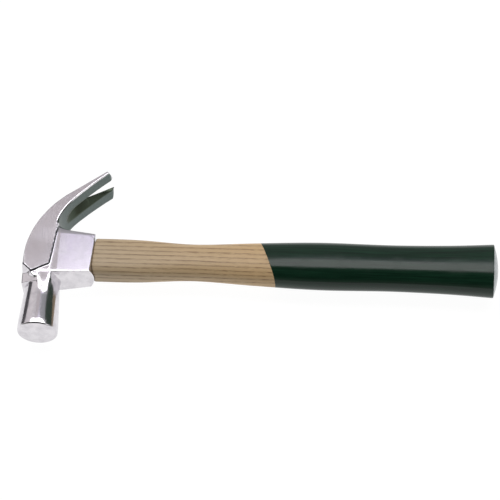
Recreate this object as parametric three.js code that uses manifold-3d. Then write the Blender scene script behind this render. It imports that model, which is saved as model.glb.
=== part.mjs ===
// A curved-claw hammer with a forged, socketed head wedged on a hickory handle whose grip
// is dipped in lacquer. Millimetres. The hammer lies on its side, +Z up.
// Inside the model +X runs along the handle from the head to the butt, +Y points from the
// striking face to the claw, and the axes of poll and handle cross at the model's origin.

import * as THREE from "three";
import { mergeVertices } from "three/addons/utils/BufferGeometryUtils.js";
import Module from "manifold-3d";

// Poll and striking face
const FACE_DIAMETER = 28;
const FACE_CHAMFER = 0.9;
const FACE_CROWN = 0.5;
const FACE_FLAT_DIAMETER = 17;
const FACE_RING = 4.5;
const POLL_LENGTH = 60;
const NECK_DIAMETER = 24.4;
const NECK_OFFSET = 29;

// Cheeks, spine and claw
const HEAD_WIDTH = 33;
const CHEEK_CHAMFER = 0.6;
const SPINE = 14;
const CLAW_REACH = 40.8;
const CLAW_RISE = 65.3;
const CLAW_ANGLE = THREE.MathUtils.degToRad(38);
const CLAW_RADIUS = 71;
const CLAW_LENGTH = 53;
const CLAW_TIP_THICKNESS = 2.2;
const CLAW_ROOT_THICKNESS = 10.4;
const CLAW_TAPER_POWER = 1.45;
const PRONG_SETBACK = 3.2;

// Nail slot between the prongs: wide on the hollow side, a vee on the back. The vee goes right
// through, and the slot as a whole stops short of the claw's root.
const SLOT_WIDTH = 11.4;
const SLOT_VEE = 24.2;
const SLOT_STOP = 7.8;
const SLOT_NOSE = 12;
const SLOT_FLOOR_WIDTH = 0.6;

// Eye and the tenon in it
const EYE_MOUTH_HEIGHT = 24.6;
const EYE_MOUTH_WIDTH = 14.6;
const EYE_WAIST_HEIGHT = 23.4;
const EYE_WAIST_WIDTH = 13.6;
const EYE_WAIST_X = 14;
const EYE_TOP_HEIGHT = 25.4;
const EYE_TOP_WIDTH = 17;
const EYE_CORNER = 4.5;
const CLEARANCE = 0.3;

// Socket round the eye, and the foot of the cheek beside it
const SOCKET_LENGTH = 34;
const SOCKET_EDGE = 1.5;
const MOUTH_WALL = 2.75;
const BODY_WALL = 5.9;
const BODY_REACH = 10;
const ROOT_FILLET = 5.5;
const FOOT_REACH = 5;
const FOOT_SLOPE = 4.2;
const FOOT_STEP = 1;
const POLL_SQUARENESS = 5;

// Wedges driven into the end of the tenon
const KERF_DEPTH = 32;
const TIMBER_WEDGE_THICKNESS = 3.4;
const TIMBER_WEDGE_EDGE = 0.8;
const STEEL_WEDGE_COUNT = 2;
const STEEL_WEDGE_WIDTH = 11;
const STEEL_WEDGE_DEPTH = 20;
const STEEL_WEDGE_THICKNESS = 2.4;
const STEEL_WEDGE_EDGE = 0.7;
const TENON_RECESS = 0.3;

// Handle: the run from the station before, then height and width
const SHOULDER_STEP = 0.5;
const THROAT_RUN = 28;
const THROAT_HEIGHT = 29.6;
const THROAT_WIDTH = 19;
const WAIST_RUN = 42;
const WAIST_HEIGHT = 26.4;
const WAIST_WIDTH = 18.4;
const RISE_RUN = 39;
const RISE_HEIGHT = 30.4;
const RISE_WIDTH = 21.2;
const SWELL_RUN = 42;
const SWELL_HEIGHT = 33.8;
const SWELL_WIDTH = 23.6;
const GRIP_RUN = 58;
const GRIP_HEIGHT = 33;
const GRIP_WIDTH = 23.4;
const FLARE_RUN = 40;
const FLARE_HEIGHT = 35.2;
const FLARE_WIDTH = 24.8;
const BUTT_RUN = 23.2;
const BUTT_HEIGHT = 38;
const BUTT_WIDTH = 26.4;
const BUTT_DOME = 4.2;
const SHOULDER_SQUARENESS = 4.5;
const GRIP_SQUARENESS = 2.35;

// Lacquer film over the grip, ending on a plane across the handle
const DIP_LENGTH = 153.4;
const DIP_ANGLE = THREE.MathUtils.degToRad(20.9);
const FILM_THICKNESS = 0.4;

// Facets
const OVAL_SIDES = 32;
const CORNER_STEPS = 4;
const CLAW_STEPS = 18;
const FILLET_STEPS = 6;
const SLOT_STEPS = 18;
const HANDLE_STEPS = 34;
const DOME_STEPS = 5;
const POLL_STEPS = 8;

// How far a cutter reaches past the surface that it opens
const PAST = 1;

const SLOT_LENGTH = CLAW_LENGTH - SLOT_STOP;
const MOUTH_HEIGHT = EYE_MOUTH_HEIGHT + 2 * MOUTH_WALL;
const MOUTH_WIDTH = EYE_MOUTH_WIDTH + 2 * MOUTH_WALL;
const BODY_HEIGHT = EYE_WAIST_HEIGHT + 2 * BODY_WALL;
const BODY_WIDTH = EYE_WAIST_WIDTH + 2 * BODY_WALL;

const X = new THREE.Vector3(1, 0, 0);
const Y = new THREE.Vector3(0, 1, 0);
const Z = new THREE.Vector3(0, 0, 1);

const wasm = await Module();
wasm.setup();

const steel = { color: 0xc6c3c9, metalness: 1, roughness: 0.2 };
const wedgeSteel = { color: 0x85888c, metalness: 1, roughness: 0.45 };
const hickory = { color: 0xba9c6e, metalness: 0, roughness: 0.5 };
const beech = { color: 0xc9a678, metalness: 0, roughness: 0.6 };
const lacquer = { color: 0x1d3a2d, metalness: 0, roughness: 0.12 };

// Solids

function solid(geometry) {
  const bare = geometry.clone();
  bare.deleteAttribute("normal");
  bare.deleteAttribute("uv");
  const merged = mergeVertices(bare);
  return new wasm.Manifold(new wasm.Mesh({
    numProp: 3,
    vertProperties: new Float32Array(merged.attributes.position.array),
    triVerts: new Uint32Array(merged.index.array),
  }));
}

function part(name, manifold, finish) {
  const { vertProperties, triVerts } = manifold.getMesh();
  const geometry = new THREE.BufferGeometry();
  geometry.setAttribute("position", new THREE.BufferAttribute(vertProperties, 3));
  geometry.setIndex(new THREE.BufferAttribute(triVerts, 1));
  geometry.computeVertexNormals();
  const mesh = new THREE.Mesh(geometry, new THREE.MeshStandardMaterial(finish));
  mesh.name = name;
  return mesh;
}

// A closed skin through rings of points, each end closed by a fan. Seen along the way the
// rings follow each other, a ring runs clockwise.
function loft(rings) {
  const count = rings[0].length;
  const points = rings.flat();
  const faces = [];
  const middle = (ring) => ring.reduce((sum, p) => sum.add(p), new THREE.Vector3()).divideScalar(count);
  const first = points.push(middle(rings[0])) - 1;
  const last = points.push(middle(rings.at(-1))) - 1;
  const end = count * (rings.length - 1);
  for (let i = 0; i < count; i += 1) {
    const next = (i + 1) % count;
    faces.push(first, next, i);
    faces.push(last, end + i, end + next);
    for (let near = 0; near < end; near += count) {
      const far = near + count;
      faces.push(near + i, near + next, far + next);
      faces.push(near + i, far + next, far + i);
    }
  }
  const geometry = new THREE.BufferGeometry().setFromPoints(points);
  geometry.setIndex(faces);
  return solid(geometry);
}

// A ring of points in the plane of two axes, given as pairs of distances along them.
function ring(centre, across, up, pairs) {
  return pairs.map(([a, b]) => centre.clone().addScaledVector(across, a).addScaledVector(up, b));
}

// A superellipse: power 2 is an ellipse, a higher power is squarer.
function oval(halfA, halfB, power) {
  return Array.from({ length: OVAL_SIDES }, (_, i) => {
    const angle = (2 * Math.PI * (i + 0.5)) / OVAL_SIDES;
    const reach = (value) => Math.sign(value) * Math.abs(value) ** (2 / power);
    return [halfA * reach(Math.cos(angle)), halfB * reach(Math.sin(angle))];
  });
}

function roundedRectangle(halfA, halfB, radius) {
  const corners = [[1, 1], [-1, 1], [-1, -1], [1, -1]];
  return corners.flatMap(([a, b], corner) => Array.from({ length: CORNER_STEPS + 1 }, (_, i) => {
    const angle = (Math.PI / 2) * (corner + i / CORNER_STEPS);
    return [
      a * (halfA - radius) + radius * Math.cos(angle),
      b * (halfB - radius) + radius * Math.sin(angle),
    ];
  }));
}

function extrudeAcross(outline, width, chamfer = 0) {
  const shape = new THREE.Shape(outline);
  const geometry = new THREE.ExtrudeGeometry(shape, {
    depth: width - 2 * chamfer,
    bevelEnabled: chamfer > 0,
    bevelThickness: chamfer,
    bevelSize: chamfer,
    bevelOffset: -chamfer,
    bevelSegments: 1,
  });
  geometry.translate(0, 0, chamfer - width / 2);
  return solid(geometry);
}

// Side view of the claw: its back is a straight line from the tips, then an arc, then the
// upright spine. Distances run from the tips along the back.

const CLAW_TURN = Math.PI / 2 - CLAW_ANGLE;
const BACK_TANGENT = CLAW_RADIUS * Math.tan(CLAW_TURN / 2);
const BACK_STRAIGHT = (CLAW_REACH + SPINE) / Math.cos(CLAW_ANGLE) - BACK_TANGENT;
const BACK_CENTRE = new THREE.Vector3(
  CLAW_RADIUS - SPINE,
  CLAW_RISE - (CLAW_REACH + SPINE) * Math.tan(CLAW_ANGLE) - BACK_TANGENT,
  0,
);

function backNormal(distance) {
  const turned = THREE.MathUtils.clamp((distance - BACK_STRAIGHT) / CLAW_RADIUS, 0, CLAW_TURN);
  const angle = Math.PI / 2 + CLAW_ANGLE + turned;
  return new THREE.Vector3(Math.cos(angle), Math.sin(angle), 0);
}

function backPoint(distance) {
  const point = BACK_CENTRE.clone().addScaledVector(backNormal(distance), CLAW_RADIUS);
  const toTips = Math.max(0, BACK_STRAIGHT - distance);
  const downSpine = Math.max(0, distance - BACK_STRAIGHT - CLAW_RADIUS * CLAW_TURN);
  return point.add(new THREE.Vector3(
    toTips * Math.cos(CLAW_ANGLE),
    toTips * Math.sin(CLAW_ANGLE) - downSpine,
    0,
  ));
}

// The distance at which arc or spine is at a given height.
function backDistance(height) {
  const above = height - BACK_CENTRE.y;
  const left = above > 0 ? CLAW_RADIUS * Math.asin(above / CLAW_RADIUS) : above;
  return BACK_STRAIGHT + CLAW_RADIUS * CLAW_TURN - left;
}

function clawThickness(distance) {
  const share = Math.max(0, distance) / CLAW_LENGTH;
  const gain = CLAW_ROOT_THICKNESS - CLAW_TIP_THICKNESS;
  return CLAW_TIP_THICKNESS + gain * share ** CLAW_TAPER_POWER;
}

function hollowPoint(distance) {
  return backPoint(distance).addScaledVector(backNormal(distance), -clawThickness(distance));
}

function steps(from, to, count) {
  return Array.from({ length: count + 1 }, (_, i) => from + ((to - from) * i) / count);
}

// The cheek's foot: the corners of the wide spine where it drops to socket and poll.
const SPINE_END = backDistance(FOOT_SLOPE - BODY_HEIGHT / 2);
const FOOT_LEFT = backPoint(SPINE_END);
const FOOT_TIP = new THREE.Vector3(-SPINE / 2, -BODY_HEIGHT / 2 - FOOT_SLOPE / 2, 0);
const FOOT_RIGHT = new THREE.Vector3(FOOT_REACH, FOOT_LEFT.y, 0);
const CLAW_ROOT = hollowPoint(CLAW_LENGTH);
const FOOT_TOP = new THREE.Vector3(CLAW_ROOT.x - FOOT_STEP, BODY_HEIGHT / 2 - FOOT_SLOPE / 2, 0);

function spineAndClaw() {
  const back = steps(0, SPINE_END, CLAW_STEPS).map(backPoint);
  const hollow = steps(CLAW_LENGTH, 0, CLAW_STEPS).map(hollowPoint);
  const outline = [...back, FOOT_TIP, FOOT_RIGHT, FOOT_TOP, ...hollow];
  return extrudeAcross(outline, HEAD_WIDTH, CHEEK_CHAMFER);
}

// The sloped skirt under the cheek's foot, on both sides of the head.
function spineFoot() {
  const free = [FOOT_TIP, FOOT_RIGHT, FOOT_TOP];
  const held = [backPoint(SPINE_END - FOOT_SLOPE), FOOT_LEFT];
  const level = (z, spread) => [
    ...free.map((p) => p.clone().setLength(p.length() + spread).setZ(z)),
    ...held.map((p) => p.clone().setZ(z)),
  ];
  const top = HEAD_WIDTH / 2 - 2 * CHEEK_CHAMFER;
  const low = top - FOOT_SLOPE;
  return loft([level(-top, 0), level(-low, FOOT_SLOPE), level(low, FOOT_SLOPE), level(top, 0)]);
}

function socket() {
  const section = (x, height, width) => ring(
    new THREE.Vector3(x, 0, 0), Y, Z, roundedRectangle(height / 2, width / 2, SOCKET_EDGE),
  );
  return loft([
    section(0, BODY_HEIGHT, BODY_WIDTH),
    section(BODY_REACH, BODY_HEIGHT, BODY_WIDTH),
    section(SOCKET_LENGTH, MOUTH_HEIGHT, MOUTH_WIDTH),
  ]);
}

// Fillet between the hollow of the claw and the socket's upper side, as wide as the claw at
// its root and as the socket where it runs out.
function clawFillet() {
  const level = BODY_HEIGHT / 2;
  const claw = HEAD_WIDTH / 2 - 2 * CHEEK_CHAMFER;
  const body = BODY_WIDTH / 2 - SOCKET_EDGE;
  const section = (x, top, half) => [[0, -body], [top, -half], [top, half], [0, body]]
    .map(([y, z]) => new THREE.Vector3(x, y, z));
  const start = section(CLAW_ROOT.x - FOOT_SLOPE, level + ROOT_FILLET, claw);
  const curve = steps(0, Math.PI / 2, FILLET_STEPS).map((angle) => {
    const x = CLAW_ROOT.x + ROOT_FILLET * (1 - Math.cos(angle));
    const top = level + ROOT_FILLET * (1 - Math.sin(angle));
    return section(x, top, THREE.MathUtils.lerp(claw, body, Math.sin(angle)));
  });
  return loft([start, ...curve]);
}

// The poll: square where it leaves the head, round at the neck, flared to the face.
function poll() {
  const section = (offset, half, power, centreX = 0) => ring(
    new THREE.Vector3(centreX, -offset, 0), X, Z, oval(half[0], half[1], power),
  );
  const neck = NECK_DIAMETER / 2;
  const face = FACE_DIAMETER / 2;
  const ringStart = POLL_LENGTH - FACE_RING;
  const root = BODY_HEIGHT / 2;
  const rootX = (neck - SPINE) / 2;
  const rootHalf = [(SPINE + neck) / 2, BODY_WIDTH / 2 + FOOT_SLOPE / 4];
  const blend = steps(0, 1, POLL_STEPS).map((share) => {
    const ease = share * share * (3 - 2 * share);
    const half = rootHalf.map((value) => THREE.MathUtils.lerp(value, neck, ease));
    const centreX = rootX * (1 - ease);
    const power = THREE.MathUtils.lerp(POLL_SQUARENESS, 2, ease);
    return section(THREE.MathUtils.lerp(root, NECK_OFFSET, share), half, power, centreX);
  });
  const inner = [rootHalf[0] - FOOT_SLOPE, rootHalf[1] - FOOT_SLOPE];
  const flat = FACE_FLAT_DIAMETER / 2;
  const rim = face - FACE_CHAMFER;
  return loft([
    section(0, inner, POLL_SQUARENESS, rootX),
    ...blend,
    section(ringStart, [face, face], 2),
    section(POLL_LENGTH - FACE_CHAMFER - FACE_CROWN, [face, face], 2),
    section(POLL_LENGTH - FACE_CROWN, [rim, rim], 2),
    section(POLL_LENGTH, [flat, flat], 2),
  ]);
}

// The eye widens from its waist to both ends. The tenon is the same shape, smaller by
// the clearance.
function eye(clearance) {
  const section = (x, height, width) => ring(
    new THREE.Vector3(x, 0, 0), Y, Z,
    roundedRectangle(height / 2 - clearance, width / 2 - clearance, EYE_CORNER - clearance),
  );
  return loft([
    section(-SPINE - PAST, EYE_TOP_HEIGHT, EYE_TOP_WIDTH),
    section(EYE_WAIST_X, EYE_WAIST_HEIGHT, EYE_WAIST_WIDTH),
    section(SOCKET_LENGTH + PAST, EYE_MOUTH_HEIGHT, EYE_MOUTH_WIDTH),
  ]);
}

// The cutter of the nail slot. On the hollow side it keeps its width up to a round nose. On
// the back it narrows from the tips to a vee, and past the vee it is a groove that runs out.
function nailSlot() {
  const half = SLOT_WIDTH / 2;
  const rings = steps(-PAST, SLOT_LENGTH - PAST / 2, SLOT_STEPS).map((distance) => {
    const nose = Math.max(0, distance - SLOT_LENGTH + SLOT_NOSE) / SLOT_NOSE;
    const wide = half * Math.sqrt(1 - nose * nose);
    const vee = half * (1 - Math.max(0, distance) / SLOT_VEE);
    const narrow = Math.min(wide, Math.max(SLOT_FLOOR_WIDTH / 2, vee));
    const runOut = Math.max(0, distance - SLOT_VEE) / (SLOT_LENGTH - SLOT_VEE);
    const thickness = clawThickness(distance);
    const floor = distance < SLOT_VEE ? PAST : -thickness * runOut;
    const flare = (wide - narrow) / (thickness + floor);
    const open = wide + flare * PAST;
    const lip = -thickness - PAST;
    return ring(backPoint(distance), Z, backNormal(distance), [
      [-open, lip], [open, lip], [narrow, floor], [-narrow, floor],
    ]);
  });
  return loft(rings);
}

// The prongs' ends are cut aslant, so that their outer corners stand back from the tips.
function prongEnds() {
  const tip = backPoint(0);
  const along = backPoint(PRONG_SETBACK).sub(tip).normalize();
  const normal = backNormal(0);
  const inside = SLOT_WIDTH / 2;
  const outside = HEAD_WIDTH / 2;
  const slope = PRONG_SETBACK / (outside - inside);
  const deep = clawThickness(0) + PRONG_SETBACK;
  const corner = (side, z, distance, level) => tip.clone()
    .addScaledVector(along, distance)
    .addScaledVector(normal, level)
    .addScaledVector(Z, side * z);
  return [1, -1].map((side) => {
    const outline = (level) => [
      corner(side, inside, -PAST, level),
      corner(side, inside, 0, level),
      corner(side, outside + PAST, PRONG_SETBACK + slope * PAST, level),
      corner(side, outside + PAST, -PAST, level),
    ];
    const levels = [outline(-deep), outline(PAST)];
    return loft(side > 0 ? levels : levels.reverse());
  });
}

function hammerHead() {
  const masses = [spineFoot(), socket(), clawFillet(), poll()];
  const cutters = [nailSlot(), eye(0), ...prongEnds()];
  const forging = masses.reduce((sum, mass) => sum.add(mass), spineAndClaw());
  return cutters.reduce((rest, cutter) => rest.subtract(cutter), forging);
}

// Handle and film share one skin: stations along the handle, joined by a smooth curve, with
// a domed butt. The inset shrinks the whole skin.

const stations = [
  new THREE.Vector3(
    SOCKET_LENGTH + CLEARANCE,
    MOUTH_HEIGHT / 2 - SHOULDER_STEP,
    MOUTH_WIDTH / 2 - SHOULDER_STEP,
  ),
];
[
  [THROAT_RUN, THROAT_HEIGHT, THROAT_WIDTH],
  [WAIST_RUN, WAIST_HEIGHT, WAIST_WIDTH],
  [RISE_RUN, RISE_HEIGHT, RISE_WIDTH],
  [SWELL_RUN, SWELL_HEIGHT, SWELL_WIDTH],
  [GRIP_RUN, GRIP_HEIGHT, GRIP_WIDTH],
  [FLARE_RUN, FLARE_HEIGHT, FLARE_WIDTH],
  [BUTT_RUN, BUTT_HEIGHT, BUTT_WIDTH],
].forEach(([run, height, width]) => {
  stations.push(new THREE.Vector3(stations.at(-1).x + run, height / 2, width / 2));
});

function squareness(x) {
  const share = THREE.MathUtils.smoothstep(x, SOCKET_LENGTH, SOCKET_LENGTH + THROAT_RUN + WAIST_RUN);
  return THREE.MathUtils.lerp(SHOULDER_SQUARENESS, GRIP_SQUARENESS, share);
}

function handleSkin(inset) {
  const curve = new THREE.CatmullRomCurve3(stations);
  const butt = stations.at(-1);
  const section = (x, halfHeight, halfWidth) => ring(
    new THREE.Vector3(x, 0, 0), Y, Z, oval(halfHeight - inset, halfWidth - inset, squareness(x)),
  );
  const shaft = curve.getPoints(HANDLE_STEPS).map((p) => section(p.x, p.y, p.z));
  const dome = steps(0, Math.PI / 2, DOME_STEPS).slice(1).map((angle) => {
    const drop = BUTT_DOME * (1 - Math.cos(angle));
    const ahead = (BUTT_DOME - inset) * Math.sin(angle);
    return section(butt.x + ahead, butt.y - drop, butt.z - drop);
  });
  return loft([...shaft, ...dome]);
}

// Everything on the butt side of the dip plane, moved along the handle by an offset.
function dippedSide(offset) {
  const buttX = stations.at(-1).x;
  const size = 2 * buttX;
  const geometry = new THREE.BoxGeometry(size, size, size);
  geometry.translate(size / 2, 0, 0);
  geometry.rotateZ(DIP_ANGLE);
  geometry.translate(buttX - DIP_LENGTH + offset, 0, 0);
  return solid(geometry);
}

function gripLacquer() {
  const film = handleSkin(0).subtract(handleSkin(FILM_THICKNESS));
  return film.intersect(dippedSide(CLEARANCE));
}

// What lies beyond the head's outer end, where tenon and wedges are trimmed.
function beyondHead() {
  const edge = steps(0, SPINE_END, CLAW_STEPS)
    .map((distance) => backPoint(distance).addScaledVector(backNormal(distance), -TENON_RECESS));
  const last = edge.at(-1);
  const far = -2 * SPINE;
  const outline = [
    ...edge,
    new THREE.Vector3(last.x, -BODY_HEIGHT, 0),
    new THREE.Vector3(far, -BODY_HEIGHT, 0),
    new THREE.Vector3(far, edge[0].y, 0),
  ];
  return extrudeAcross(outline.reverse(), HEAD_WIDTH);
}

// A wedge with its blunt end at the head's outer end, thinning along +X. A clearance makes
// the hole that it sits in.
function wedge(depth, height, width, edgeHeight, edgeWidth, y, clearance) {
  const section = (x, halfA, halfB) => ring(new THREE.Vector3(x, y, 0), Y, Z, [
    [halfA, -halfB], [halfA, halfB], [-halfA, halfB], [-halfA, -halfB],
  ]);
  const grow = (size) => size / 2 + clearance;
  return loft([
    section(-SPINE - PAST, grow(height), grow(width)),
    section(depth - SPINE + clearance, grow(edgeHeight), grow(edgeWidth)),
  ]);
}

// The timber wedge clears the eye's waist. Its kerf is sawn right across the tenon.
function timberWedge() {
  const height = EYE_WAIST_HEIGHT - 2 * CLEARANCE;
  return wedge(KERF_DEPTH, height, TIMBER_WEDGE_THICKNESS, height, TIMBER_WEDGE_EDGE, 0, 0);
}

function kerf() {
  const height = EYE_TOP_HEIGHT + 2 * PAST;
  return wedge(KERF_DEPTH, height, TIMBER_WEDGE_THICKNESS, height, TIMBER_WEDGE_EDGE, 0, CLEARANCE);
}

function steelWedge(index, clearance) {
  const y = EYE_WAIST_HEIGHT * ((index + 0.5) / STEEL_WEDGE_COUNT - 0.5);
  const blunt = STEEL_WEDGE_THICKNESS;
  const width = STEEL_WEDGE_WIDTH;
  return wedge(STEEL_WEDGE_DEPTH, blunt, width, STEEL_WEDGE_EDGE, width, y, clearance);
}

const steelWedgeIndices = Array.from({ length: STEEL_WEDGE_COUNT }, (_, i) => i);

function cutSteelWedges(body) {
  return steelWedgeIndices.reduce((rest, i) => rest.subtract(steelWedge(i, CLEARANCE)), body);
}

function handle() {
  const bare = handleSkin(0).subtract(dippedSide(0));
  const core = handleSkin(FILM_THICKNESS + CLEARANCE);
  const shaft = bare.add(core).add(eye(CLEARANCE));
  return cutSteelWedges(shaft.subtract(kerf())).subtract(beyondHead());
}

const hammer = new THREE.Group();
hammer.add(part("hammer_head", hammerHead(), steel));
hammer.add(part("handle", handle(), hickory));
hammer.add(part("timber_wedge", cutSteelWedges(timberWedge()).subtract(beyondHead()), beech));
steelWedgeIndices.forEach((i) => {
  hammer.add(part(`steel_wedge_${i + 1}`, steelWedge(i, 0).subtract(beyondHead()), wedgeSteel));
});
hammer.add(part("grip_lacquer", gripLacquer(), lacquer));

// Stand the model on its cheek, centred over the origin.
const bounds = new THREE.Box3().setFromObject(hammer);
const centre = bounds.getCenter(new THREE.Vector3());
hammer.position.set(-centre.x, -centre.y, -bounds.min.z);

export default hammer;
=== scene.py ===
"""Looks of a curved-claw hammer: a polished forged head, a hickory handle with a lacquered grip, and wedges.

Sizes are millimetres in the tool's own axes: X along the handle from head to butt, Y from the striking face
to the claw, Z across the cheeks, with the origin where the poll's axis crosses the handle's. Meshes go into
the part's frame, in metres.
"""

from __future__ import annotations

import logging
import math
from collections.abc import Callable
from dataclasses import dataclass, field
from enum import Enum

import bpy
import numpy as np
from mathutils import Matrix, Vector

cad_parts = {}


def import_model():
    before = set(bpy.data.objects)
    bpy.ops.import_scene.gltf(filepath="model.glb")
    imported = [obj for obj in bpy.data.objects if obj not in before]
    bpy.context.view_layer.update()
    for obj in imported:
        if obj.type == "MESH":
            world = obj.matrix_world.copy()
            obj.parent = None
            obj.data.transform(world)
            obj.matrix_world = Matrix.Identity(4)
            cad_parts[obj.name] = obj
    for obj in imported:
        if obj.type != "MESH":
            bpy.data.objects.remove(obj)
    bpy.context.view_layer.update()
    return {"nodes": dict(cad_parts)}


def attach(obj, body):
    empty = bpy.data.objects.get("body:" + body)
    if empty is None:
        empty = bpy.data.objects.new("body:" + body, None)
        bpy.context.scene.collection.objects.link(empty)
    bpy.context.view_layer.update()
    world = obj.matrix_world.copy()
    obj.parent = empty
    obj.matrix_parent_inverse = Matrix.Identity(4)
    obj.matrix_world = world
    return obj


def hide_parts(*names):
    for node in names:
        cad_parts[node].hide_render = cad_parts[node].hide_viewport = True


LOG = logging.getLogger("hammer")
BODY = "root"
MILLIMETRE = 0.001

# Where the tool's origin lies in the part's frame, in millimetres
TOOL_ORIGIN = np.array([-148.35, -2.65, 16.5])

# How many radii apart two distances still give way to each other
EASE_REACH = 1.75

# Half the distance between readings of a field, in millimetres
SLOPE_STEP = 0.02
NORMAL_STEP = 0.08

# How a cell's point is found: pull towards the mean, furthest shift in cells, then slides and their limit
MEAN_PULL = 0.12
SHIFT_LIMIT = 0.6
SLIDES = 3
SLIDE_LIMIT = 0.3

# What keeps a division by a length or by a slope's square from failing
TINY_LENGTH = 1e-9
TINY_SLOPE = 1e-6

# Factor that the wave texture puts on its coordinates, and the mean of a noise texture's three values
WAVE_FACTOR = 20
NOISE_MEAN = (0.5, 0.5, 0.5)

Array = np.ndarray
Field = Callable[[Array, Array, Array], Array]
Socket = bpy.types.NodeSocket
Pair = tuple[float, float]
Triple = tuple[float, float, float]


class Slot(Enum):
    """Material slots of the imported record."""

    HEAD = "polished_steel"
    HANDLE = "hickory"
    GRIP = "green_lacquer"


class Lit(Enum):
    """What a studio card gives the steel to reflect: something bright, or something dark."""

    BRIGHT = "bright"
    DARK = "dark"


def linear(code: str, alpha: float = 1.0) -> tuple[float, float, float, float]:
    """Turns an sRGB hex colour into linear values.

    Args:
        code: Six hex digits after a hash.
        alpha: Fourth value.

    Returns:
        Linear red, green, blue and alpha.
    """
    values = np.array([int(code[i : i + 2], 16) for i in (1, 3, 5)]) / 255
    straight = np.where(values <= 0.04045, values / 12.92, ((values + 0.055) / 1.055) ** 2.4)
    return (*map(float, straight), alpha)


def per_metre(millimetres: float) -> float:
    """Texture scale that repeats once in a length given in millimetres."""
    return 1.0 / (millimetres * MILLIMETRE)


def linked(name: str, data: bpy.types.ID) -> bpy.types.Object:
    """Makes an object of a mesh, light or camera and links it to the scene.

    Args:
        name: The object's name.
        data: What it shows.

    Returns:
        The object.
    """
    made = bpy.data.objects.new(name, data)
    bpy.context.scene.collection.objects.link(made)
    return made


def new_material(name: str) -> bpy.types.Material:
    """Starts a material that has nodes.

    Args:
        name: The material's name.

    Returns:
        The material.
    """
    made = bpy.data.materials.new(name)
    made.use_nodes = True
    return made


def fill(tree: bpy.types.NodeTree, node: bpy.types.Node, inputs: dict) -> None:
    """Sets a node's inputs, or links them where a socket is given.

    Args:
        tree: The node's tree.
        node: The node.
        inputs: Values or output sockets, by the input's name or number.
    """
    for name, value in inputs.items():
        if isinstance(value, Socket):
            tree.links.new(value, node.inputs[name])
        else:
            node.inputs[name].default_value = value


def add_node(
    tree: bpy.types.NodeTree, kind: str, inputs: dict | None = None, **settings: object
) -> bpy.types.Node:
    """Adds a node, sets its properties, and fills or links its inputs.

    Args:
        tree: Node tree to add to.
        kind: Blender's name for the node.
        inputs: Values or output sockets for inputs, by name or number.
        settings: The node's own properties.

    Returns:
        The new node.
    """
    node = tree.nodes.new(kind)
    for name, value in settings.items():
        setattr(node, name, value)
    fill(tree, node, inputs or {})
    return node


# Surfaces


def eased_min(a: Array, b: Array, radius: float) -> Array:
    """The smaller of two distances, with the corner between them filled.

    Within reach of each other, both give way by a cubic of how near they are. The reach fills a square corner
    about as deep as a round fillet of that radius.

    Args:
        a: First distance.
        b: Second distance.
        radius: Radius of the fillet.

    Returns:
        Joined distance.
    """
    reach = EASE_REACH * radius
    near = np.maximum(reach - np.abs(a - b), 0) / reach
    return np.minimum(a, b) - near**3 * reach / 6


def eased_max(a: Array, b: Array, radius: float) -> Array:
    """The larger of two distances, with the edge between them rounded."""
    return -eased_min(-a, -b, radius)


def eased_step(low: float, high: float, value: Array) -> Array:
    """Runs from 0 at low to 1 at high along a smooth S."""
    share = np.clip((value - low) / (high - low), 0, 1)
    return share * share * (3 - 2 * share)


def curve_through(x: Array, knots: Array, heights: Array) -> Array:
    """A smooth curve through knots.

    It has cubic pieces, whose slope at a knot is that of the line between the knot's neighbours.

    Args:
        x: Where to read the curve.
        knots: Rising positions.
        heights: Height at each position.

    Returns:
        Heights at x.
    """
    slopes = np.gradient(heights, knots)
    i = np.clip(np.searchsorted(knots, x) - 1, 0, len(knots) - 2)
    run = knots[i + 1] - knots[i]
    t = (x - knots[i]) / run
    start = heights[i] * (1 + 2 * t) * (1 - t) ** 2 + slopes[i] * run * t * (1 - t) ** 2
    end = heights[i + 1] * (3 - 2 * t) * t**2 + slopes[i + 1] * run * (t - 1) * t**2
    return start + end


@dataclass
class Skin:
    """A mesh in the making: points in tool millimetres, faces as rows of point numbers, values per point."""

    points: Array
    quads: Array
    triangles: Array = field(default_factory=lambda: np.zeros((0, 3), int))
    normals: Array | None = None
    values: dict[str, Array] = field(default_factory=dict)

    def object(self, name: str, material: bpy.types.Material) -> bpy.types.Object:
        """Makes the Blender object, smooth shaded, in the part's frame.

        Args:
            name: Name of the piece.
            material: Its finish.

        Returns:
            The linked object.
        """
        mesh = bpy.data.meshes.new(name)
        placed = (self.points + TOOL_ORIGIN) * MILLIMETRE
        mesh.from_pydata(placed.tolist(), [], self.quads.tolist() + self.triangles.tolist())
        mesh.shade_smooth()
        for key, value in self.values.items():
            layer = mesh.attributes.new(key, "FLOAT", "POINT")
            layer.data.foreach_set("value", value.astype(np.float32))
        if self.normals is not None:
            mesh.normals_split_custom_set_from_vertices(self.normals.tolist())
        mesh.materials.append(material)
        return linked(name, mesh)


def closed_rings(rings: Array) -> Skin:
    """Joins rings of points into a closed skin, with each end drawn in to a point.

    Args:
        rings: Array of ring, place, coordinate. Rings run anticlockwise seen against the way they follow.

    Returns:
        The skin.
    """
    count, around, _ = rings.shape
    grid = np.arange(count * around).reshape(count, around)
    ahead = np.roll(grid, -1, axis=1)
    quads = np.stack([grid[:-1], ahead[:-1], ahead[1:], grid[1:]], axis=-1).reshape(-1, 4)
    first, last = count * around, count * around + 1
    ends = [
        np.stack([np.full(around, first), ahead[0], grid[0]], axis=-1),
        np.stack([np.full(around, last), grid[-1], ahead[-1]], axis=-1),
    ]
    poles = np.stack([rings[0].mean(0), rings[-1].mean(0)])
    return Skin(np.concatenate([rings.reshape(-1, 3), poles]), quads, np.concatenate(ends))


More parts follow.
